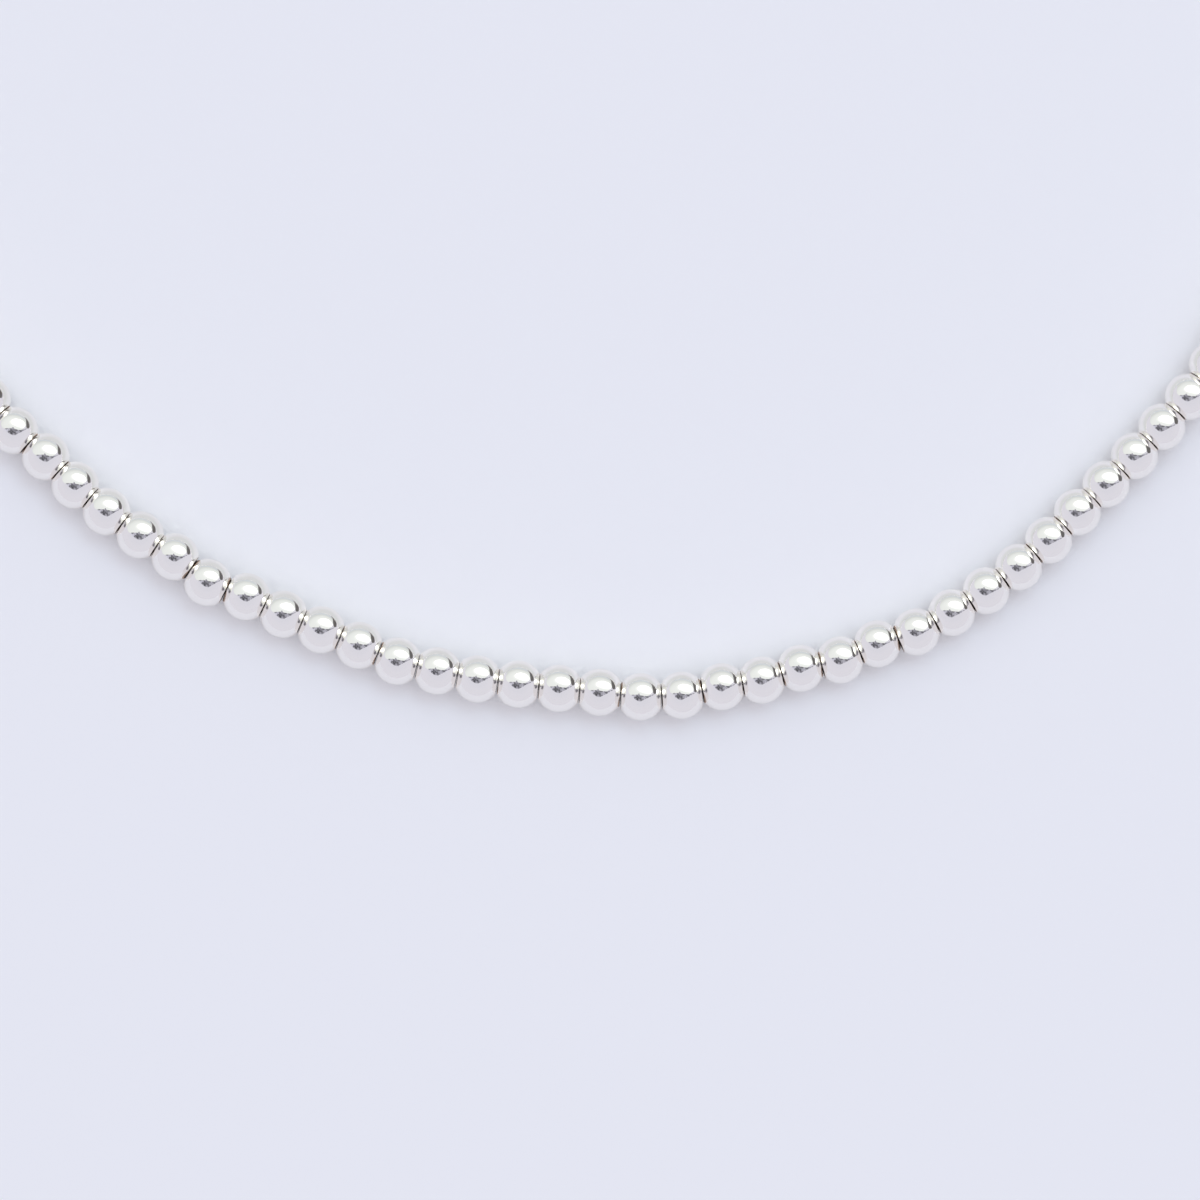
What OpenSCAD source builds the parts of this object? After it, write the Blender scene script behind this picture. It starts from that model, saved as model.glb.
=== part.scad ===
// Ball chain necklace: round hollow silver beads on a thin cable, laid flat in a loop on a surface,
// with an end cap on each end of the cable, a ring in each cap, and a claw clasp at the back.
// X runs across the loop, its front lies towards -Y, and Z points up from the surface at Z = 0.
// All lengths are in millimetres.

/* [Beads] */
// Diameter of a bead
bead_d = 4; // [3:0.1:5]
// Diameter of the flat face round the bore at each end of a bead
face_d = 2.45; // [2:0.05:2.6]
// Diameter of the bore
bore_d = 1.6; // [1.5:0.1:1.9]
// Wall of the hollow bead
bead_wall = 0.25; // [0.15:0.05:0.5]
// Clear space between two beads on the inside of the tightest bend
bead_gap = 0.16; // [0.16:0.01:0.5]
// How far a settled bead lies off the cable's line, at most
bead_play = 0.3; // [0:0.05:0.3]
// How far the beads on the right have slid along the cable towards the front, at most
bead_slide = 1.3; // [0:0.1:1.3]

/* [Cable] */
// Diameter of the cable that the beads are strung on
cable_d = 0.5; // [0.3:0.05:0.6]
// Clear space round the cable inside an end cap
cable_clear = 0.1; // [0.1:0.05:0.2]

/* [End caps] */
// Step from the beads' outside down to the cap's outside
cap_inset = 0.3; // [0.1:0.05:0.5]
// Length of the cap's straight skirt
cap_skirt = 1.2; // [0.8:0.1:3]
// Length of the cap's taper
cap_taper = 2.4; // [2:0.1:5]
// Diameter of the cap's narrow end
cap_tip_d = 1.6; // [1.4:0.1:2]
// Metal left between the cable's end and the cap's narrow end
cap_floor = 0.6; // [0.4:0.1:1]
// Wire of the loop soldered to the cap
cap_wire = 0.6; // [0.4:0.05:0.7]

/* [Rings] */
// Wire of the ring at each side of the clasp, which stands as high as the beads
ring_wire = 0.6; // [0.4:0.05:0.7]
// Clear space where one link passes through another
link_clear = 0.15; // [0.12:0.01:0.2]

/* [Clasp] */
// Wire of the round claw
claw_wire = 1; // [0.8:0.05:1.1]
// Opening of the round claw
claw_hole_d = 3; // [2.9:0.1:4]
// Length of the clasp's body between its round ends
body_len = 1.6; // [1:0.1:4]
// Wire of the loop at the clasp's tail
tail_wire = 0.8; // [0.6:0.05:1]
// Diameter of the thumb tab
tab_d = 0.9; // [0.7:0.05:1.1]
// How far the thumb tab stands out of the claw
tab_reach = 0.9; // [0.5:0.1:1.5]

/* [Hidden] */

$fn = 48;
blend_fn = 24;        // smoothness of the clasp's blended shoulders
cable_sides = 8;      // sides of the cable's tube
spline_steps = 24;    // steps in each stretch of the route
tight_bend_r = 45;    // radius of the route's tightest bend
cut_over = 1;         // how far a cutting tool runs past what it cuts
shoulder_turn = 125;  // where on the claw its shoulders end, from the claw's far side
tab_turn = 218;       // where on the claw the thumb tab stands

// Where the middle of the clasp lies, and the chosen points that steer the string from there round
// the left, the front and the right side. Each row is [x, y], and the string's two ends are added
// from the clasp's own sizes.
back = [-3, 136];
route = [
    [-29, back[1]], [-48, 129], [-64, 114], [-73.5, 92], [-76, 67], [-70, 42.5], [-56, 20.5],
    [-37.5, 3], [-15, -6.5], [8, -9], [28, -3], [43, 9.5], [56.5, 26], [66.5, 46.5],
    [71, 70], [67.5, 93.5], [57.5, 114], [42, 129.5], [23.5, back[1]]
];

// How far each bead has settled off the cable's line, as a share of the play, outwards if negative.
// The list starts settle_lead beads left of the front and repeats round the loop.
settle_lead = 17;
settle = [
    0.5, 0, 0.75, 0.25, 0, 0.25, 0.5, -1, 0.5, 0.5, 0.5, 0, -1, -0.75, -0.5, 0, 0.25, 0,
    -1, -1, 0.25, 0.25, 1, 0, 0.5, -1, -1, -1, -1, -0.5, 0, 0, -0.25, -0.5, -0.75, -0.5
];

bead_r = bead_d / 2;
bead_len = 2 * sqrt(bead_r * bead_r - face_d * face_d / 4);

// A ring stands on the surface, and the clasp lies on the bottom of both rings.
ring_hole_r = bead_r - ring_wire;
ring_r = bead_r - ring_wire / 2;
clasp_z = ring_wire + link_clear + max(claw_wire, tail_wire) / 2;
claw_r = (claw_hole_d + claw_wire) / 2;

// Sideways distance from a ring's middle to a clasp wire that lies on the ring's bottom.
function astride(wire) =
    sqrt(max(0, pow(ring_hole_r - wire / 2 - link_clear, 2) - pow(bead_r - clasp_z, 2)));

// Places along X, from the middle of the clasp's body.
claw_x = body_len / 2 + clasp_z + claw_hole_d / 2;
catch_ring_x = claw_x + claw_r + astride(claw_wire);
tail_hole_d = bead_r - astride(tail_wire) + link_clear - tail_wire / 2;
tail_r = (tail_hole_d + tail_wire) / 2;
tail_x = -body_len / 2 - clasp_z - tail_r + tail_wire / 4;
jump_ring_x = tail_x - tail_r - astride(tail_wire);

// The cap's loop is pulled against its ring, and its hole just takes the ring's wire.
cap_d = bead_d - 2 * cap_inset;
cap_len = cap_skirt + cap_taper;
cap_loop_r = (ring_wire + 2 * link_clear + cap_wire) / 2;
ring_to_cap = ring_hole_r - cap_wire / 2 - link_clear + 2 * cap_loop_r + cap_len;
mouth_right_x = catch_ring_x + ring_to_cap;
mouth_left_x = jump_ring_x - ring_to_cap;
cable_grip = cap_len - cap_floor;

// Smooth route through the chosen points: a uniform cubic spline whose ends meet the caps' mouths.
function mirrored(from, about) = 2 * about - from;
function weights(t) =
    [pow(1 - t, 3), 3 * pow(t, 3) - 6 * t * t + 4, -3 * pow(t, 3) + 3 * t * t + 3 * t + 1, pow(t, 3)] / 6;
function spline(p, i, t) = weights(t) * [p[i], p[i + 1], p[i + 2], p[i + 3]];

mouth_left = back + [mouth_left_x, 0];
mouth_right = back + [mouth_right_x, 0];
steer = concat([mirrored(route[0], mouth_left), mouth_left], route,
               [mouth_right, mirrored(route[len(route) - 1], mouth_right)]);
path = concat([for (i = [0:len(steer) - 4], k = [0:spline_steps - 1]) spline(steer, i, k / spline_steps)],
              [mouth_right]);
run = [for (i = 0, s = 0; i < len(path);
            s = s + (i < len(path) - 1 ? norm(path[i + 1] - path[i]) : 0), i = i + 1) s];
x_along = [for (i = [0:len(path) - 1]) [run[i], path[i][0]]];
y_along = [for (i = [0:len(path) - 1]) [run[i], path[i][1]]];

// Place on the route, direction of the route and the unit vector to its inner side, at a length s.
function place(s) = [lookup(s, x_along), lookup(s, y_along)];
function chord(s) = place(s + bead_len / 2) - place(s - bead_len / 2);
function heading(s) = atan2(chord(s)[1], chord(s)[0]);
function inwards(s) = [-sin(heading(s)), cos(heading(s))];

// As many beads as the route takes, spread over it, with those on the right slid closer together.
// In the tightest bend the beads' faces close up on the inside by the share that the bend takes.
string_len = run[len(run) - 1];
bend_share = face_d / (2 * tight_bend_r);
bead_count = floor(string_len / (bead_len * (1 + bend_share) + bead_gap));
pitch = string_len / bead_count;
left_count = floor(bead_count / 2);

function slid(i) = bead_slide * pow(sin(180 * max(0, i - left_count) / (bead_count - left_count)), 2);
function along(i) = (i + 0.5) * pitch - slid(i);
function settled(i) =
    settle[(i - left_count + settle_lead + bead_count * len(settle)) % len(settle)] * bead_play;
function bead_place(i) = place(along(i)) + settled(i) * inwards(along(i));

// Middle of the whole necklace in plan, which goes to the origin.
bead_x = [for (i = [0:bead_count - 1]) bead_place(i)[0]];
bead_y = [for (i = [0:bead_count - 1]) bead_place(i)[1]];
back_edge = max(max(bead_y) + bead_r, back[1] + claw_r + claw_wire / 2);
middle = [(max(bead_x) + min(bead_x)) / 2, (back_edge + min(bead_y) - bead_r) / 2];

// A ball on the origin, cut flat at both ends along Z.
module flat_ended_ball(diameter, length) {
    intersection() {
        sphere(d = diameter);
        cylinder(d = diameter + 2 * cut_over, h = length, center = true);
    }
}

// A hollow bead of even wall, with its bore along X.
module bead() {
    rotate([0, 90, 0]) difference() {
        flat_ended_ball(bead_d, bead_len);
        flat_ended_ball(bead_d - 2 * bead_wall, bead_len - 2 * bead_wall);
        cylinder(d = bore_d, h = bead_len + 2 * cut_over, center = true);
    }
}

// Beads from number first to number last, each turned along the route and resting on the surface.
module beads(first, last) {
    for (i = [first:last])
        translate(concat(bead_place(i) - middle, [bead_r]))
            rotate([0, 0, heading(along(i))]) bead();
}

module bead_string_left() {
    color("silver") beads(0, left_count - 1);
}

module bead_string_right() {
    color("silver") beads(left_count, bead_count - 1);
}

// A round tube swept along the gaps between the beads, with each end deep in its cap.
module cable() {
    ends = [mouth_left + [cable_grip, 0], mouth_right - [cable_grip, 0]];
    line = concat([ends[0]], [for (k = [0:bead_count]) place(along(k - 0.5))], [ends[1]]);
    turn = concat([180], [for (k = [0:bead_count]) heading(along(k - 0.5))], [180]);
    side = [for (k = [0:cable_sides - 1]) 360 * (k + 0.5) / cable_sides];
    points = [for (i = [0:len(line) - 1], a = side)
        concat(line[i] - middle + cable_d / 2 * cos(a) * [-sin(turn[i]), cos(turn[i])],
               [bead_r + cable_d / 2 * sin(a)])];
    function corner(i, k) = i * cable_sides + k % cable_sides;
    walls = [for (i = [0:len(line) - 2], k = [0:cable_sides - 1])
        [corner(i, k), corner(i + 1, k), corner(i + 1, k + 1), corner(i, k + 1)]];
    first_end = [for (k = [0:cable_sides - 1]) corner(0, k)];
    last_end = [for (k = [cable_sides - 1:-1:0]) corner(len(line) - 1, k)];
    color("gray") polyhedron(points, concat(walls, [first_end, last_end]));
}

// A closed ring of round wire in the XY plane.
module wire_ring(ring_radius, wire) {
    rotate_extrude() translate([ring_radius, 0]) circle(d = wire);
}

// A tapered cap with its mouth at X = 0, its blind bore along X and its soldered loop beyond the tip.
module end_cap() {
    difference() {
        union() {
            rotate([0, 90, 0]) cylinder(d = cap_d, h = cap_skirt);
            translate([cap_skirt, 0, 0]) rotate([0, 90, 0]) cylinder(d1 = cap_d, d2 = cap_tip_d, h = cap_taper);
            translate([cap_len + cap_loop_r, 0, 0]) wire_ring(cap_loop_r, cap_wire);
        }
        translate([-cut_over, 0, 0]) rotate([0, 90, 0])
            cylinder(d = cable_d + 2 * cable_clear, h = cut_over + cable_grip + cable_clear);
    }
}

module end_cap_left() {
    color("silver") translate(concat(mouth_left - middle, [bead_r])) end_cap();
}

module end_cap_right() {
    color("silver") translate(concat(mouth_right - middle, [bead_r]))
        rotate([0, 0, 180]) end_cap();
}

// A ring that stands upright on the surface, in line with the clasp.
module standing_ring(x) {
    color("silver") translate(concat(back + [x, 0] - middle, [bead_r]))
        rotate([90, 0, 0]) wire_ring(ring_r, ring_wire);
}

module jump_ring() {
    standing_ring(jump_ring_x);
}

module catch_ring() {
    standing_ring(catch_ring_x);
}

// A closed claw, a round-ended body with shoulders, a thumb tab and a tail loop, all one solid.
module clasp() {
    color("silver") translate(concat(back - middle, [clasp_z])) {
        translate([claw_x, 0, 0]) wire_ring(claw_r, claw_wire);
        translate([tail_x, 0, 0]) wire_ring(tail_r, tail_wire);
        translate([-body_len / 2, 0, 0]) sphere(r = clasp_z);
        translate([-body_len / 2, 0, 0]) rotate([0, 90, 0]) cylinder(r = clasp_z, h = body_len);
        for (side = [-1, 1])
            hull() {
                translate([body_len / 2, 0, 0]) sphere(r = clasp_z, $fn = blend_fn);
                translate([claw_x, 0, 0]) rotate([0, 0, side * shoulder_turn])
                    translate([claw_r, 0, 0]) sphere(d = claw_wire, $fn = blend_fn);
            }
        translate([claw_x, 0, 0]) rotate([0, 0, tab_turn]) translate([claw_r, 0, 0]) {
            rotate([0, 90, 0]) cylinder(d = tab_d, h = tab_reach);
            translate([tab_reach, 0, 0]) sphere(d = tab_d);
        }
    }
}

bead_string_left();
bead_string_right();
cable();
end_cap_left();
end_cap_right();
jump_ring();
catch_ring();
clasp();
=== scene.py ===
import math

import bmesh
import bpy
from mathutils import Matrix, Vector


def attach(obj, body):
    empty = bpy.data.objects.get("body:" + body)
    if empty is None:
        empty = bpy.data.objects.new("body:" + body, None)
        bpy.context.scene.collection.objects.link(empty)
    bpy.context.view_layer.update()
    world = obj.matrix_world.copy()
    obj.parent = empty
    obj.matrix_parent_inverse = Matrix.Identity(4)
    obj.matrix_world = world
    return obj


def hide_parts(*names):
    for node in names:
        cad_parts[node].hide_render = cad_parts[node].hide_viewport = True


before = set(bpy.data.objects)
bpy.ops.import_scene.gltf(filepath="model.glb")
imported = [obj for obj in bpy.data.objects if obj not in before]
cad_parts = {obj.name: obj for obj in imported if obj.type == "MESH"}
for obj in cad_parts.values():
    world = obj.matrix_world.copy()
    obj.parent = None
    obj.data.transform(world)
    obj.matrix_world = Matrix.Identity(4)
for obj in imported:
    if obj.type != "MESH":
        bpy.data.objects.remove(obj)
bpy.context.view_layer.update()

MM = 0.001

# The route: the way the string was laid down, a smooth curve through the bores of the beads at
# half their height. It steers the beads and their cable alike, from the left end cap round the
# front of the loop to the right one.
bead_d = 4.0 * MM
loop_middle = Vector((-2.70285, 64.21835, 0)) * MM
back = Vector((-3, 136, 0)) * MM
left_mouth = back + Vector((-10.45, 0, 0)) * MM
right_mouth = back + Vector((11.6, 0, 0)) * MM
chosen_points = [Vector((x, y, 0)) * MM for x, y in [
    (-29, 136), (-48, 129), (-64, 114), (-73.5, 92), (-76, 67), (-70, 42.5), (-56, 20.5),
    (-37.5, 3), (-15, -6.5), (8, -9), (28, -3), (43, 9.5), (56.5, 26), (66.5, 46.5),
    (71, 70), (67.5, 93.5), (57.5, 114), (42, 129.5), (23.5, 136)]]
left_lead = left_mouth - chosen_points[0]
right_lead = right_mouth - chosen_points[-1]
steering_points = ([left_mouth + 2 * left_lead, left_mouth + left_lead, left_mouth] + chosen_points
                   + [right_mouth, right_mouth + right_lead, right_mouth + 2 * right_lead])

route_curve = bpy.data.curves.new("route", "CURVE")
route_curve.dimensions = "3D"
route_spline = route_curve.splines.new("NURBS")
route_spline.points.add(len(steering_points) - 1)
for point, place in zip(route_spline.points, steering_points):
    point.co = (*(place - loop_middle + Vector((0, 0, bead_d / 2))), 1)
route_spline.order_u = 4
route_spline.resolution_u = 24
route = bpy.data.objects.new("route", route_curve)
bpy.context.scene.collection.objects.link(route)


# Bead strings: hollow beads pressed from silver sheet, soldered, drilled and polished bright, each
# with a small flat face round its bore. They sit loose on the cable, so each has settled a little
# off its line. The two strings meet at the front.
def size_tree(name, sizes):
    """A geometry tree with a named input for each size, its input sockets and its end."""
    tree = bpy.data.node_groups.new(name, "GeometryNodeTree")
    tree.interface.new_socket("Geometry", in_out="INPUT", socket_type="NodeSocketGeometry")
    for label, kind in sizes.items():
        tree.interface.new_socket(label, in_out="INPUT", socket_type="NodeSocket" + kind)
    tree.interface.new_socket("Geometry", in_out="OUTPUT", socket_type="NodeSocketGeometry")
    given = tree.nodes.new("NodeGroupInput").outputs
    end = tree.nodes.new("NodeGroupOutput").inputs["Geometry"]
    return tree, given, end


def node(tree, kind, inputs=None, **settings):
    """One node with its settings made and its inputs set or linked. Returns its outputs."""
    made = tree.nodes.new(kind)
    for setting, value in settings.items():
        setattr(made, setting, value)
    for key, value in (inputs or {}).items():
        if isinstance(value, bpy.types.NodeSocket):
            tree.links.new(value, made.inputs[key])
        else:
            made.inputs[key].default_value = value
    return made.outputs


def sums(tree, operation, *terms):
    """A number worked out by one Math node."""
    return node(tree, "ShaderNodeMath", dict(enumerate(terms)), operation=operation)[0]


def joined(tree, operation, *terms):
    """A vector worked out by one Vector Math node."""
    return node(tree, "ShaderNodeVectorMath", dict(enumerate(terms)), operation=operation)[0]


def ramped(tree, value, start, stop, first=0.0, last=1.0):
    """A number that goes evenly from first to last while the value goes from start to stop."""
    return node(tree, "ShaderNodeMapRange", {
        "Value": value, "From Min": start, "From Max": stop, "To Min": first,
        "To Max": last})["Result"]


def whole_route(tree, route_input):
    """The route's line and its length."""
    line = node(tree, "GeometryNodeObjectInfo", {"Object": route_input},
                transform_space="RELATIVE")["Geometry"]
    return line, node(tree, "GeometryNodeCurveLength", {"Curve": line})["Length"]


def on_route(tree, curve, length):
    """The place on the route at a length from its start."""
    return node(tree, "GeometryNodeSampleCurve", {"Curves": curve, "Length": length},
                mode="LENGTH", use_all_curves=True)["Position"]


def plain_mesh(name, tree, sizes):
    """Runs the tree with these sizes and keeps its result as a plain mesh object."""
    piece = bpy.data.objects.new(name, bpy.data.meshes.new(name))
    bpy.context.scene.collection.objects.link(piece)
    maker = piece.modifiers.new("maker", "NODES")
    maker.node_group = tree
    for socket in tree.interface.items_tree:
        if socket.in_out == "INPUT" and socket.name in sizes:
            maker[socket.identifier] = sizes[socket.name]
    bpy.context.view_layer.update()
    made = piece.evaluated_get(bpy.context.evaluated_depsgraph_get())
    mesh = bpy.data.meshes.new_from_object(made)
    piece.modifiers.remove(maker)
    piece.data = mesh
    mesh.name = name
    return piece


bead_tree, given, bead_end = size_tree("bead_string", {
    "Route": "Object", "Bead diameter": "Float", "Bead length": "Float", "Rim rounding": "Float",
    "Bore diameter": "Float", "First bead": "Int", "Beads in string": "Int", "All beads": "Int",
    "Settling starts": "Int", "Sideways play": "Float", "Slide": "Float",
    "Length spread": "Float", "Lead in": "Float", "Lead out": "Float", "Silver": "Material"})
t = bead_tree

# One bead, turned like a lathe part about X: the ball's radius and the flat ends are blended by a
# smooth minimum, which rounds the rims, and the last column closes the bore. The columns stand
# close together on the rims.
profile_steps = 28
turn_steps = 32
face_columns = 2
rim_columns = 3
least_slope = 0.01
seam_gap = 0.001 * MM
grid = node(t, "GeometryNodeMeshGrid", {"Size X": 1.0, "Size Y": 1.0,
                                        "Vertices X": profile_steps + 1,
                                        "Vertices Y": turn_steps + 1})["Mesh"]
grid_place = node(t, "ShaderNodeSeparateXYZ", {0: node(t, "GeometryNodeInputPosition")[0]})
column = sums(t, "ROUND", sums(t, "MULTIPLY", sums(t, "ADD", grid_place["X"], 0.5), profile_steps))
column = sums(t, "MODULO", column, profile_steps)
turn = sums(t, "MULTIPLY", sums(t, "ADD", grid_place["Y"], 0.5), 2 * math.pi)
half_d = sums(t, "MULTIPLY", given["Bead diameter"], 0.5)
half_len = sums(t, "MULTIPLY", given["Bead length"], 0.5)
bore_angle = sums(t, "ARCTAN2", sums(t, "MULTIPLY", given["Bore diameter"], 0.5), half_len)
rim_angle = sums(t, "ARCCOSINE", sums(t, "DIVIDE", half_len, half_d))
rim_spread = sums(t, "DIVIDE", given["Rim rounding"], half_len)
last_column = profile_steps - 1
from_end = sums(t, "MINIMUM", column, sums(t, "SUBTRACT", last_column, column))
on_face = ramped(t, from_end, 0.0, face_columns, bore_angle,
                 sums(t, "SUBTRACT", rim_angle, rim_spread))
on_rim = ramped(t, from_end, face_columns, face_columns + rim_columns, 0.0,
                sums(t, "MULTIPLY", rim_spread, 2.0))
on_ball = ramped(t, from_end, face_columns + rim_columns, last_column / 2, 0.0,
                 sums(t, "SUBTRACT", math.pi / 2, sums(t, "ADD", rim_angle, rim_spread)))
from_axis = sums(t, "ADD", sums(t, "ADD", on_face, on_rim), on_ball)
side = sums(t, "SIGN", sums(t, "SUBTRACT", column, last_column / 2))
angle = sums(t, "MULTIPLY_ADD", side, sums(t, "SUBTRACT", math.pi / 2, from_axis), math.pi / 2)
along_axis = sums(t, "COSINE", angle)
slope = sums(t, "MAXIMUM", sums(t, "ABSOLUTE", along_axis), least_slope)
to_face = sums(t, "DIVIDE", half_len, slope)
reach = sums(t, "SMOOTH_MIN", half_d, to_face, given["Rim rounding"])
off_axis = sums(t, "MULTIPLY", reach, sums(t, "SINE", angle))
bead_point = node(t, "ShaderNodeCombineXYZ", {
    "X": sums(t, "MULTIPLY", reach, along_axis),
    "Y": sums(t, "MULTIPLY", off_axis, sums(t, "COSINE", turn)),
    "Z": sums(t, "MULTIPLY", off_axis, sums(t, "SINE", turn))})[0]

# The polish doesn't reach the flat ends, where the beads face each other. They are marked for a
# brown tarnish that is partly painted shade, which darkens the gaps between beads.
unpolished = ramped(t, from_end, face_columns, face_columns + 1, 1.0, 0.0)
bead = node(t, "GeometryNodeStoreNamedAttribute", {
    "Geometry": grid, "Name": "unpolished", "Value": unpolished}, data_type="FLOAT",
    domain="POINT")[0]
bead = node(t, "GeometryNodeSetPosition", {"Geometry": bead, "Position": bead_point})[0]
bead = node(t, "GeometryNodeMergeByDistance", {"Geometry": bead, "Distance": seam_gap})[0]

# The string: each bead's place along the route. Those on the right have slid together, in one
# smooth wave. Beads that stand apart are made a little longer, by up to the length spread, so that
# neighbours nearly touch everywhere.
line, line_len = whole_route(t, given["Route"])
string_len = sums(t, "SUBTRACT", sums(t, "SUBTRACT", line_len, given["Lead in"]), given["Lead out"])
pitch = sums(t, "DIVIDE", string_len, given["All beads"])
number = sums(t, "ADD", node(t, "GeometryNodeInputIndex")[0], given["First bead"])
left_beads = sums(t, "FLOOR", sums(t, "MULTIPLY", given["All beads"], 0.5))
past_front = sums(t, "MAXIMUM", sums(t, "SUBTRACT", number, left_beads), 0.0)
right_beads = sums(t, "SUBTRACT", given["All beads"], left_beads)
along_right = sums(t, "MULTIPLY", sums(t, "DIVIDE", past_front, right_beads), math.pi)
wave = sums(t, "SINE", along_right)
slid = sums(t, "MULTIPLY", sums(t, "MULTIPLY", wave, wave), given["Slide"])
middle_len = sums(t, "ADD", given["Lead in"],
                  sums(t, "MULTIPLY", sums(t, "ADD", number, 0.5), pitch))
middle_len = sums(t, "SUBTRACT", middle_len, slid)
ahead = on_route(t, line, sums(t, "ADD", middle_len, half_len))
behind = on_route(t, line, sums(t, "SUBTRACT", middle_len, half_len))
forward = joined(t, "SUBTRACT", ahead, behind)
inward = joined(t, "NORMALIZE", joined(t, "CROSS_PRODUCT", (0, 0, 1), forward))

# How far each bead has settled off the line, as a share of the play, outwards if negative. The
# list starts left of the front and repeats round the loop. A new picker has two entries already.
settled = [
    0.5, 0, 0.75, 0.25, 0, 0.25, 0.5, -1, 0.5, 0.5, 0.5, 0, -1, -0.75, -0.5, 0, 0.25, 0,
    -1, -1, 0.25, 0.25, 1, 0, 0.5, -1, -1, -1, -1, -0.5, 0, 0, -0.25, -0.5, -0.75, -0.5]
turns_of_list = sums(t, "MULTIPLY", given["All beads"], len(settled))
place_in_list = sums(t, "MODULO", sums(t, "ADD", turns_of_list, sums(
    t, "ADD", sums(t, "SUBTRACT", number, left_beads), given["Settling starts"])), len(settled))
picker = t.nodes.new("GeometryNodeIndexSwitch")
picker.data_type = "FLOAT"
for _ in settled[2:]:
    picker.index_switch_items.new()
for i, value in enumerate(settled):
    picker.inputs[str(i)].default_value = value
t.links.new(place_in_list, picker.inputs["Index"])
sideways = node(t, "ShaderNodeVectorMath", {0: inward, "Scale": sums(
    t, "MULTIPLY", picker.outputs[0], given["Sideways play"])}, operation="SCALE")[0]

spots = node(t, "GeometryNodePoints", {"Count": given["Beads in string"]})[0]
spots = node(t, "GeometryNodeSetPosition", {
    "Geometry": spots, "Position": on_route(t, line, middle_len), "Offset": sideways})[0]
facing = node(t, "FunctionNodeAlignRotationToVector", {"Vector": forward}, axis="X",
              pivot_axis="Z")[0]

# Where the wave crowds the beads together there is no room for longer ones.
full_crowding = 0.5
crowding = sums(t, "SINE", sums(t, "MULTIPLY", along_right, 2.0))
room = ramped(t, crowding, 0.0, full_crowding, 1.0, 0.0)
longer = sums(t, "MULTIPLY", room, given["Length spread"])
stretch = node(t, "ShaderNodeCombineXYZ", {
    "X": sums(t, "ADD", 1.0, sums(t, "DIVIDE", longer, given["Bead length"])),
    "Y": 1.0, "Z": 1.0})[0]
string = node(t, "GeometryNodeInstanceOnPoints", {
    "Points": spots, "Instance": bead, "Rotation": facing, "Scale": stretch})[0]
string = node(t, "GeometryNodeRealizeInstances", {"Geometry": string})[0]
string = node(t, "GeometryNodeSetShadeSmooth", {"Geometry": string})[0]
string = node(t, "GeometryNodeSetMaterial", {"Geometry": string, "Material": given["Silver"]})[0]
t.links.new(string, bead_end)


def colours(tree, share, first, second):
    """A colour that goes from the first to the second with the share. Either may be a socket."""
    first, second = [(*c, 1.0) if isinstance(c, tuple) else c for c in (first, second)]
    return node(tree, "ShaderNodeMix", {0: share, 6: first, 7: second}, data_type="RGBA")[2]


def metal(name, colour, smoothest, roughest, grain, dent_size, dent_depth, tarnish_and_painted_shade=None,
          tarnish_roughness=0.35):
    """A polished metal: the roughness varies with a fine grain, and slow dents bend reflections.
    Its tarnish, the colour of what the polish hasn't reached, is partly painted shade: it darkens
    the gaps between beads."""
    material = bpy.data.materials.new(name)
    material.use_nodes = True
    shade = material.node_tree
    shade.nodes.clear()
    surface = shade.nodes.new("ShaderNodeBsdfPrincipled")
    surface.inputs["Metallic"].default_value = 1.0
    surface.inputs["Base Color"].default_value = (*colour, 1.0)
    place = node(shade, "ShaderNodeTexCoord")["Object"]
    fine = node(shade, "ShaderNodeTexNoise", {
        "Vector": place, "Scale": 1 / grain, "Detail": 4.0})["Fac"]
    grain_low, grain_high = 0.35, 0.65
    roughness = ramped(shade, fine, grain_low, grain_high, smoothest, roughest)
    if tarnish_and_painted_shade:
        unpolished = node(shade, "ShaderNodeAttribute", attribute_name="unpolished")["Fac"]
        shade.links.new(colours(shade, unpolished, colour, tarnish_and_painted_shade), surface.inputs["Base Color"])
        roughness = ramped(shade, unpolished, 0.0, 1.0, roughness, tarnish_roughness)
    shade.links.new(roughness, surface.inputs["Roughness"])
    dents = node(shade, "ShaderNodeTexNoise", {
        "Vector": place, "Scale": 1 / dent_size, "Detail": 1.5})["Fac"]
    bent = node(shade, "ShaderNodeBump", {
        "Height": dents, "Strength": 1.0, "Distance": dent_depth})["Normal"]
    shade.links.new(bent, surface.inputs["Normal"])
    end = shade.nodes.new("ShaderNodeOutputMaterial")
    shade.links.new(surface.outputs[0], end.inputs["Surface"])
    return material


# The brown tarnish on the beads' flat ends is partly painted shade in the gaps between beads.
bead_silver = metal("polished_bead_silver", (0.96, 0.928, 0.888), smoothest=0.03, roughest=0.075,
                    grain=0.5 * MM, dent_size=1.1 * MM, dent_depth=0.016 * MM,
                    tarnish_and_painted_shade=(0.50, 0.39, 0.32))
bead_count = 128
left_bead_count = bead_count // 2
polished_off = 0.025 * MM
bead_sizes = {
    "Route": route, "Bead diameter": bead_d - polished_off, "Bead length": 3.30 * MM,
    "Length spread": 0.04 * MM, "Rim rounding": 0.05 * MM, "Bore diameter": 1.6 * MM,
    "All beads": bead_count, "Settling starts": 17, "Sideways play": 0.3 * MM,
    "Slide": 1.2 * MM, "Lead in": left_lead.length, "Lead out": right_lead.length,
    "Silver": bead_silver}
for name, first, count in (
        ("bead_string_left", 0, left_bead_count),
        ("bead_string_right", left_bead_count, bead_count - left_bead_count)):
    string_piece = plain_mesh(name + "_beads", bead_tree, {
        **bead_sizes, "First bead": first, "Beads in string": count})
    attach(string_piece, "root")
    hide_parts(name)


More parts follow.
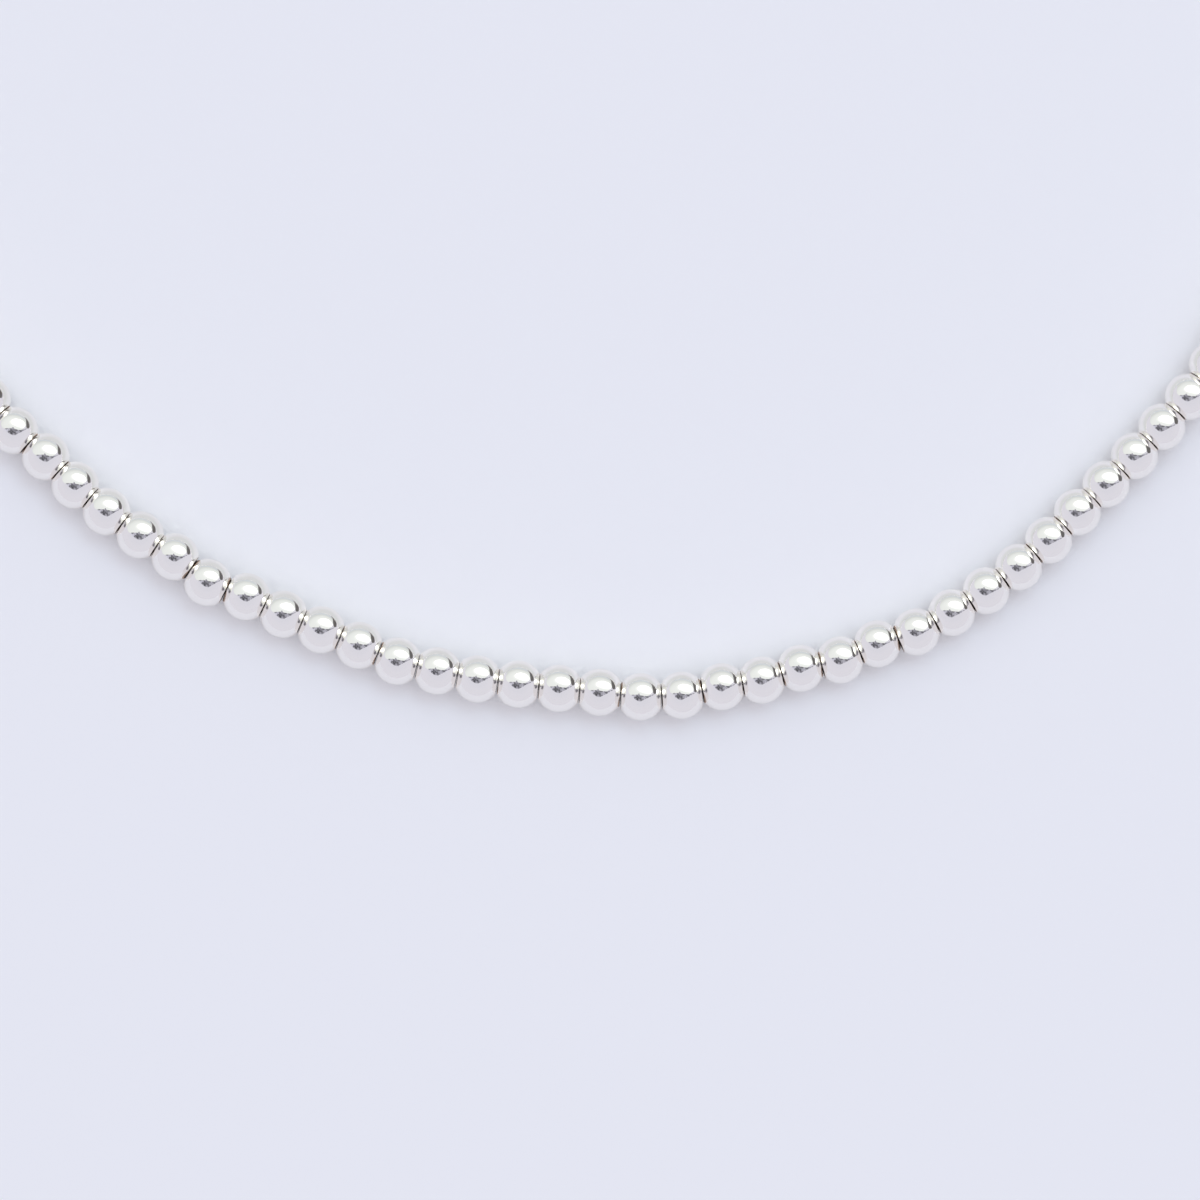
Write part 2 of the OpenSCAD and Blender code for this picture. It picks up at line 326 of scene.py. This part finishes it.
# Cable: a strand of six fine steel wires laid round a core, 0.5 mm thick, on which all the beads
# are strung. It shows only as a dark line between two beads, and each end is held 3 mm deep in an
# end cap.
cable_tree, given, cable_end = size_tree("steel_strand", {
    "Route": "Object", "Cable diameter": "Float", "Wires": "Int", "Lay length": "Float",
    "Wire groove": "Float", "Step": "Float", "Lead in": "Float", "Lead out": "Float",
    "Grip": "Float", "Steel": "Material"})
t = cable_tree
line, line_len = whole_route(t, given["Route"])
start_length, end_length = 4, 5
held = node(t, "GeometryNodeTrimCurve", {
    "Curve": line, start_length: sums(t, "SUBTRACT", given["Lead in"], given["Grip"]),
    end_length: sums(t, "ADD", sums(t, "SUBTRACT", line_len, given["Lead out"]), given["Grip"])},
    mode="LENGTH")[0]
held = node(t, "GeometryNodeResampleCurve", {"Curve": held, "Length": given["Step"]},
            mode="LENGTH")[0]
travelled = node(t, "GeometryNodeSplineParameter")["Length"]
twist = sums(t, "MULTIPLY", sums(t, "DIVIDE", travelled, given["Lay length"]), 2 * math.pi)
held = node(t, "GeometryNodeSetCurveTilt", {"Curve": held, "Tilt": twist})[0]
cable_r = sums(t, "MULTIPLY", given["Cable diameter"], 0.5)
points_per_wire = 3
ring_points = sums(t, "MULTIPLY", given["Wires"], points_per_wire)
outline = node(t, "GeometryNodeCurvePrimitiveCircle", {
    "Resolution": ring_points, "Radius": cable_r}, mode="RADIUS")["Curve"]
on_wire = sums(t, "COSINE", sums(t, "MULTIPLY", node(t, "GeometryNodeInputIndex")[0],
                                 2 * math.pi / points_per_wire))
depth = sums(t, "MULTIPLY", sums(t, "SUBTRACT", 1.0, on_wire), given["Wire groove"])
outline = node(t, "GeometryNodeSetPosition", {"Geometry": outline, "Position": node(
    t, "ShaderNodeVectorMath", {0: node(t, "GeometryNodeInputPosition")[0],
                                "Scale": sums(t, "SUBTRACT", 1.0, depth)},
    operation="SCALE")[0]})[0]
strand = node(t, "GeometryNodeCurveToMesh", {
    "Curve": held, "Profile Curve": outline, "Fill Caps": True})[0]
strand = node(t, "GeometryNodeSetShadeSmooth", {"Geometry": strand})[0]
strand = node(t, "GeometryNodeRealizeInstances", {"Geometry": strand})[0]
strand = node(t, "GeometryNodeSetMaterial", {"Geometry": strand, "Material": given["Steel"]})[0]
t.links.new(strand, cable_end)

cable_steel = metal("steel_strand", (0.42, 0.41, 0.40), smoothest=0.22, roughest=0.4,
                    grain=0.1 * MM, dent_size=0.3 * MM, dent_depth=0.002 * MM)
cable_piece = plain_mesh("stringing_cable", cable_tree, {
    "Route": route, "Cable diameter": 0.5 * MM, "Wires": 6, "Lay length": 6 * MM,
    "Wire groove": 0.09, "Step": 0.35 * MM, "Lead in": left_lead.length,
    "Lead out": right_lead.length, "Grip": 3 * MM, "Steel": cable_steel})
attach(cable_piece, "root")
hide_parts("cable")
bpy.data.objects.remove(route)


# End caps: silver caps spun from sheet, with a rolled lip at the mouth and a long taper, crimped
# over the cable's end. A loop of wire is soldered to the closed narrow end. Their sizes, like those
# of the rings and the clasp, are in millimetres.
def turned(profile, steps=64):
    """A solid turned about X from a profile of (x, radius) that starts and ends on the axis."""
    shape = bmesh.new()
    rings = []
    for x, radius in profile:
        count = 1 if radius == 0 else steps
        rings.append([shape.verts.new((x, radius * math.cos(2 * math.pi * i / steps),
                                       radius * math.sin(2 * math.pi * i / steps)))
                      for i in range(count)])
    for near, far in zip(rings, rings[1:]):
        for i in range(steps):
            corners = [near[i % len(near)], near[(i + 1) % len(near)],
                       far[(i + 1) % len(far)], far[i % len(far)]]
            shape.faces.new(list(dict.fromkeys(corners)))
    bmesh.ops.recalc_face_normals(shape, faces=shape.faces)
    return shape


def round_wire(centre, radius, wire, upright=False, seam_turn=None, steps=72, sides=20):
    """A ring of round wire. At its seam, if it shows one, the solder swells a little to both sides
    of a fine groove."""
    swell_height, swell_width = 0.06, 0.09
    groove_depth, groove_width = 0.02, 0.02
    shape = bmesh.new()
    rings = []
    for i in range(steps):
        turn = 2 * math.pi * i / steps
        swell = 0
        if seam_turn is not None:
            off = math.remainder(turn - seam_turn, 2 * math.pi)
            swell = (swell_height * math.exp(-(off / swell_width) ** 2)
                     - groove_depth * math.exp(-(off / groove_width) ** 2))
        ring = []
        for k in range(sides):
            side = 2 * math.pi * k / sides
            out = radius + wire / 2 * (1 + swell) * math.cos(side)
            up = wire / 2 * (1 + swell) * math.sin(side)
            flat = (out * math.cos(turn), out * math.sin(turn), up)
            if upright:
                flat = (flat[0], -flat[2], flat[1])
            ring.append(shape.verts.new(Vector(flat) + Vector(centre)))
        rings.append(ring)
    for near, far in zip(rings, rings[1:] + rings[:1]):
        for k in range(sides):
            shape.faces.new((near[k], far[k], far[(k + 1) % sides], near[(k + 1) % sides]))
    bmesh.ops.recalc_face_normals(shape, faces=shape.faces)
    return shape


def ball(centre, radius, steps=32):
    """A ball of metal."""
    shape = bmesh.new()
    bmesh.ops.create_uvsphere(shape, u_segments=steps, v_segments=steps // 2, radius=radius)
    bmesh.ops.translate(shape, verts=shape.verts, vec=centre)
    return shape


def stretched(first, last):
    """The skin pulled tight round two shapes."""
    shape = bmesh.new()
    for part in (first, last):
        for vert in part.verts:
            shape.verts.new(vert.co)
        part.free()
    made = bmesh.ops.convex_hull(shape, input=shape.verts)
    inside = set(made["geom_interior"] + made["geom_unused"])
    bmesh.ops.delete(shape, geom=[g for g in inside if isinstance(g, bmesh.types.BMVert)],
                     context="VERTS")
    bmesh.ops.recalc_face_normals(shape, faces=shape.faces)
    return shape


def fused(name, parts, place, material, grain, softening):
    """Melts overlapping parts, given in millimetres, into one smooth solid at a place."""
    whole = bpy.data.meshes.new(name)
    heap = bmesh.new()
    for part in parts:
        part.to_mesh(whole)
        heap.from_mesh(whole)
        part.free()
    bmesh.ops.scale(heap, vec=(MM, MM, MM), verts=heap.verts)
    bmesh.ops.translate(heap, vec=place, verts=heap.verts)
    heap.to_mesh(whole)
    heap.free()
    piece = bpy.data.objects.new(name, whole)
    bpy.context.scene.collection.objects.link(piece)
    melt = piece.modifiers.new("melt", "REMESH")
    melt.mode = "VOXEL"
    melt.voxel_size = grain
    melt.use_smooth_shade = True
    polish = piece.modifiers.new("polish", "SMOOTH")
    polish.factor = 0.5
    polish.iterations = softening
    bpy.context.view_layer.update()
    made = piece.evaluated_get(bpy.context.evaluated_depsgraph_get())
    mesh = bpy.data.meshes.new_from_object(made)
    piece.modifiers.clear()
    piece.data = mesh
    mesh.materials.append(material)
    return piece


clasp_silver = metal("polished_clasp_silver", (0.94, 0.908, 0.868), smoothest=0.06, roughest=0.16,
                     grain=0.4 * MM, dent_size=1.6 * MM, dent_depth=0.01 * MM)
cap_skirt, cap_len, cap_r, cap_tip_r = 1.2, 3.6, 1.7, 0.8
cable_bore_r, bore_len = 0.35, 3.1
cap_loop_r, cap_wire = 0.75, 0.6
solder_sunk, solder_r = 0.02, 0.42
lip_profile = [(0.0, 1.30), (0.03, 1.50), (0.10, 1.62), (0.20, 1.69), (0.30, 1.70),
               (0.40, 1.69), (0.48, 1.63), (0.54, 1.60)]
skirt_profile = [(0.62, 1.64), (0.74, 1.68), (0.90, 1.69), (cap_skirt - 0.12, 1.68)]
taper_steps, taper_bow, tip_rounding, taper_inset = 12, 1.12, 0.15, 0.04
taper_len = cap_len - cap_skirt - tip_rounding
taper_drop = cap_r - cap_tip_r - taper_inset
taper_profile = [(cap_skirt + taper_len * k / taper_steps,
                  cap_r - taper_inset - taper_drop * (k / taper_steps) ** taper_bow)
                 for k in range(taper_steps + 1)]
bore_profile = [(bore_len, 0), (bore_len, cable_bore_r), (0.12, cable_bore_r), (0, 0.47)]
tip_profile = [(cap_len - 0.05, 0.72), (cap_len, 0.6), (cap_len, 0)]
cap_profile = bore_profile + lip_profile + skirt_profile + taper_profile + tip_profile
for side, mouth, direction in (("left", left_mouth, 1), ("right", right_mouth, -1)):
    parts = [turned(cap_profile), round_wire((cap_len + cap_loop_r, 0, 0), cap_loop_r, cap_wire),
             ball((cap_len + solder_sunk, 0, 0), solder_r)]
    if direction < 0:
        for part in parts:
            bmesh.ops.rotate(part, verts=part.verts, cent=(0, 0, 0),
                             matrix=Matrix.Rotation(math.pi, 3, "Z"))
    cap_piece = fused("end_cap_" + side + "_spun", parts,
                      mouth - loop_middle + Vector((0, 0, bead_d / 2)), clasp_silver,
                      grain=0.07 * MM, softening=4)
    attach(cap_piece, "root")
    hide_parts("end_cap_" + side)


# Rings: closed rings of round silver wire, each with a solder seam on one side. They stand upright
# on the surface between the caps' loops and the clasp, a hair under the solids' size.
ring_wire = 0.598
ring_r = 1.699
for name, ring_x, seam_turn in (("jump_ring", -4.4, 0.35), ("catch_ring", 5.55, 2.75)):
    ring = round_wire((0, 0, 0), ring_r, ring_wire, upright=True, seam_turn=seam_turn)
    mesh = bpy.data.meshes.new(name + "_wire")
    bmesh.ops.scale(ring, vec=(MM, MM, MM), verts=ring.verts)
    bmesh.ops.translate(ring, verts=ring.verts, vec=back - loop_middle + Vector(
        (ring_x * MM, 0, bead_d / 2)))
    ring.to_mesh(mesh)
    ring.free()
    mesh.shade_smooth()
    mesh.materials.append(clasp_silver)
    ring_piece = bpy.data.objects.new(name + "_wire", mesh)
    bpy.context.scene.collection.objects.link(ring_piece)
    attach(ring_piece, "root")
    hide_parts(name)


# Clasp: a claw clasp cast in silver as one plain piece, with a round claw, a thumb tab and a tail
# loop. The photo doesn't show it, so it has no gate and no spring.
claw_x, claw_r, claw_wire = 3.55, 2.0, 1.0
tail_x, tail_r, tail_wire = -2.925, 1.075, 0.8
body_len, body_r = 1.6, 1.25
shoulder_turn, tab_turn = math.radians(125), math.radians(218)
tab_d, tab_reach = 0.9, 0.9


def on_claw(turn, reach=0.0):
    """A place in the middle of the claw's wire, or beyond it."""
    out = claw_r + reach
    return Vector((claw_x + out * math.cos(turn), out * math.sin(turn), 0))


clasp_parts = [
    round_wire((claw_x, 0, 0), claw_r, claw_wire),
    round_wire((tail_x, 0, 0), tail_r, tail_wire),
    stretched(ball((-body_len / 2, 0, 0), body_r), ball((body_len / 2, 0, 0), body_r)),
    stretched(ball((body_len / 2, 0, 0), body_r), ball(on_claw(shoulder_turn), claw_wire / 2)),
    stretched(ball((body_len / 2, 0, 0), body_r), ball(on_claw(-shoulder_turn), claw_wire / 2)),
    stretched(ball(on_claw(tab_turn), tab_d / 2), ball(on_claw(tab_turn, tab_reach), tab_d / 2))]
clasp_piece = fused("claw_clasp", clasp_parts, back - loop_middle + Vector((0, 0, body_r * MM)),
                    clasp_silver, grain=0.07 * MM, softening=4)
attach(clasp_piece, "root")
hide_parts("clasp")


# The surface: a large sheet of smooth pale card that the necklace lies on. Inside the front of the
# loop, from a few millimetres off the beads, it carries a painted shade that only the metal's
# reflections show, so the metal mirrors it a little darker there.
table_size = 12
middle_of_front = Vector((0, -8, 0)) * MM
dark_r, pale_r = 53 * MM, 59.5 * MM
bpy.ops.mesh.primitive_plane_add(size=table_size, location=(0, 0, 0))
table = bpy.context.object
table.name = "table_card"
table_card = bpy.data.materials.new("pale_card")
table_card.use_nodes = True
t = table_card.node_tree
card_surface = t.nodes["Principled BSDF"]
card_place = node(t, "ShaderNodeTexCoord")["Object"]
from_front = node(t, "ShaderNodeVectorMath", {
    0: joined(t, "SUBTRACT", card_place, middle_of_front)}, operation="LENGTH")["Value"]
inside = ramped(t, from_front, pale_r, dark_r)
# Painted shade seen only in reflections: glossy rays find the card darker inside the loop.
in_metal = node(t, "ShaderNodeLightPath")["Is Glossy Ray"]
card_colour_and_mirrored_shade = colours(t, sums(t, "MULTIPLY", inside, in_metal), (0.88, 0.886, 0.89),
               (0.777, 0.795, 0.752))
t.links.new(card_colour_and_mirrored_shade, card_surface.inputs["Base Color"])
card_surface.inputs["Roughness"].default_value = 0.9
card_surface.inputs["Specular IOR Level"].default_value = 0.1
table.data.materials.append(table_card)

# The light: a pale room, which the metal mirrors evenly but whose light falls mostly from overhead,
# and a broad bluish window beyond the top right of the picture, which throws the soft shadow.
picture_middle = -loop_middle
world = bpy.data.worlds.new("pale_room")
world.use_nodes = True
room = world.node_tree
height = node(room, "ShaderNodeSeparateXYZ", {
    0: node(room, "ShaderNodeTexCoord")["Generated"]})["Z"]
wall_top, ceiling_start = 0.45, 0.9
mirrored = colours(room, ramped(room, height, wall_top, ceiling_start), (0.735, 0.74, 0.835),
                   (0.71, 0.72, 0.82))
falling = colours(room, height, (0.414, 0.408, 0.451), (1.036, 1.018, 1.128))
on_surface = sums(room, "MINIMUM", node(room, "ShaderNodeLightPath")["Diffuse Depth"], 1.0)
room.links.new(colours(room, on_surface, mirrored, falling),
               room.nodes["Background"].inputs["Color"])
bpy.context.scene.world = world

window = bpy.data.lights.new("window", "AREA")
window.shape = "RECTANGLE"
window.size, window.size_y = 1.2, 0.5
window.energy = 2.9
window.color = (0.52, 0.80, 1.0)
window_light = bpy.data.objects.new("window", window)
bpy.context.scene.collection.objects.link(window_light)
from_right, off_zenith, window_distance = math.radians(32), math.radians(26), 1.6
window_light.location = picture_middle + window_distance * Vector((
    math.sin(off_zenith) * math.sin(from_right), math.sin(off_zenith) * math.cos(from_right),
    math.cos(off_zenith)))
aim = picture_middle - window_light.location
window_light.rotation_euler = aim.to_track_quat("-Z", "Y").to_euler()
window_light.visible_camera = False
window_light.visible_glossy = False


# What the polished beads mirror: a bright card over the top of the picture, a low skirting and a
# dark screen further off and, over the middle, a small dark card. None of them is seen directly.
middle_bead_below = 8 * MM


def over_bead(across, up, height):
    """The place that the middle bead mirrors at a point of its disc, in shares of its radius."""
    off_centre = math.hypot(across, up)
    out = (height - bead_d / 2) * math.tan(2 * math.asin(off_centre)) / off_centre
    return picture_middle + Vector((across * out, up * out - middle_bead_below, height))


def level(outline, height):
    """The points and the one face of a level card, from its outline in the middle bead."""
    points = [over_bead(across, up, height) for across, up in outline]
    return points, [range(len(points))]


def standing(columns, distance):
    """The points and faces of a card that stands round the middle, from its lowest and highest
    elevations at azimuths from the top of the picture to the right, all in degrees."""
    points = []
    for azimuth, low, high in columns:
        azimuth = math.radians(azimuth)
        for elevation in (low, high):
            points.append(picture_middle + distance * Vector((
                math.sin(azimuth), math.cos(azimuth), math.tan(math.radians(elevation)))))
    return points, [(i, i + 1, i + 3, i + 2) for i in range(0, len(points) - 2, 2)]


def mirrored_card(name, points, faces, colour, shades, core=(0, 0, 0), stretch=(1, 1, 1),
                  patches=0.0, thrown_gain=1.0):
    """A card seen only in the metal. Its shades are its brightness at distances from its core."""
    mesh = bpy.data.meshes.new(name)
    mesh.from_pydata(points, [], faces)
    card = bpy.data.objects.new(name, mesh)
    bpy.context.scene.collection.objects.link(card)
    for kind in ("camera", "diffuse", "transmission", "volume_scatter", "shadow"):
        setattr(card, "visible_" + kind, False)
    material = bpy.data.materials.new(name)
    material.use_nodes = True
    shade = material.node_tree
    shade.nodes.clear()
    place = node(shade, "ShaderNodeTexCoord")["Object"]
    off_core = joined(shade, "DIVIDE", joined(shade, "SUBTRACT", place, core), stretch)
    away = node(shade, "ShaderNodeVectorMath", {0: off_core}, operation="LENGTH")["Value"]
    full_reach, full_strength = 3.0, 5.0
    ramp = shade.nodes.new("ShaderNodeValToRGB")
    for _ in shades[2:]:
        ramp.color_ramp.elements.new(0.5)
    for stop, (distance, strength) in zip(ramp.color_ramp.elements, shades):
        stop.position = distance / full_reach
        stop.color = (*[strength / full_strength] * 3, 1)
    shade.links.new(sums(shade, "DIVIDE", away, full_reach), ramp.inputs["Fac"])
    strength = sums(shade, "MULTIPLY", ramp.outputs["Color"], full_strength)
    if patches:
        patch_low, patch_high, dimmed, lit = 0.42, 0.6, 0.5, 2.4
        cloud = node(shade, "ShaderNodeTexNoise", {"Vector": place, "Scale": 1 / patches})["Fac"]
        strength = sums(shade, "MULTIPLY", strength, ramped(
            shade, cloud, patch_low, patch_high, dimmed, lit))
    thrown_on = sums(shade, "MINIMUM", node(shade, "ShaderNodeLightPath")["Diffuse Depth"], 1.0)
    strength = sums(shade, "MULTIPLY", strength, sums(
        shade, "MULTIPLY_ADD", thrown_on, thrown_gain - 1.0, 1.0))
    light = node(shade, "ShaderNodeEmission", {"Color": (*colour, 1), "Strength": strength})[0]
    end = shade.nodes.new("ShaderNodeOutputMaterial")
    shade.links.new(light, end.inputs["Surface"])
    material.cycles.emission_sampling = "NONE"
    mesh.materials.append(material)


bright_height = 330 * MM
mirrored_card(
    "bright_card",
    *level([(-0.46, 0.50), (-0.52, 0.25), (-0.48, 0.12), (-0.36, 0.05), (0.0, -0.10),
            (0.20, -0.04), (0.33, 0.07), (0.45, 0.17), (0.50, 0.25), (0.54, 0.41)],
           bright_height),
    colour=(0.91, 0.96, 0.97),
    shades=[(0.0, 4.5), (0.13, 3.5), (0.2, 1.1), (0.25, 0.96), (0.44, 0.91), (0.66, 0.86),
            (1.0, 0.76), (2.6, 0.735)],
    core=picture_middle + Vector((0.2, 0.3, bright_height)), stretch=(1.65, 1, 1),
    thrown_gain=1.8)
mirrored_card(
    "skirting",
    *standing([(-60, 0, 2), (-40, 0, 5), (-20, 0, 9), (0, 0, 12), (20, 0, 12), (36, 0, 11)],
              distance=420 * MM),
    colour=(0.86, 0.93, 1.0), shades=[(0.0, 0.76), (1.5, 0.76)])
mirrored_card(
    "dark_screen",
    *standing([(30, 0, 1), (42, 0, 6), (50, 0, 15), (56, 0, 20), (63, 2, 23), (70, 5, 26),
               (76, 9, 26), (79, 13, 22)],
              distance=400 * MM),
    colour=(1.0, 0.97, 1.0), shades=[(0.0, 0.14), (1.5, 0.14)])
dark_height = 320 * MM
mirrored_card(
    "dark_card",
    *level([(-0.38, 0.04), (-0.32, -0.04), (-0.22, -0.11), (-0.12, -0.18), (0.00, -0.20),
            (0.09, -0.15), (0.24, -0.07), (0.42, 0.02), (0.60, 0.14), (0.42, 0.07),
            (0.24, 0.03), (0.06, 0.05), (-0.04, 0.08), (-0.08, 0.15), (-0.13, 0.09),
            (-0.26, 0.09), (-0.38, 0.08)],
           dark_height),
    colour=(0.93, 0.94, 1.12), shades=[(0.0, 0.15), (0.08, 0.18), (0.22, 0.32)],
    core=over_bead(-0.06, -0.04, dark_height), patches=50 * MM)

# The camera looks almost straight down from about half a metre, a little from the lower left. It
# takes in as much of the front of the loop as the picture does.
camera_data = bpy.data.cameras.new("camera")
camera_data.sensor_width = 36
camera_from_middle = Vector((-12, -10, 480)) * MM
frame_width = 100 * MM
camera_data.clip_start = 0.01
camera = bpy.data.objects.new("camera", camera_data)
bpy.context.scene.collection.objects.link(camera)
picture_point = picture_middle + Vector((0, 0, bead_d / 2))
camera.location = picture_point + camera_from_middle
line_of_sight = picture_point - camera.location
camera_data.lens = camera_data.sensor_width * line_of_sight.length / frame_width
backwards = -line_of_sight.normalized()
rightwards = Vector((0, 1, 0)).cross(backwards).normalized()
camera.rotation_euler = Matrix((
    rightwards, backwards.cross(rightwards), backwards)).transposed().to_euler()
bpy.context.scene.camera = camera
bpy.context.scene.view_settings.view_transform = "Standard"
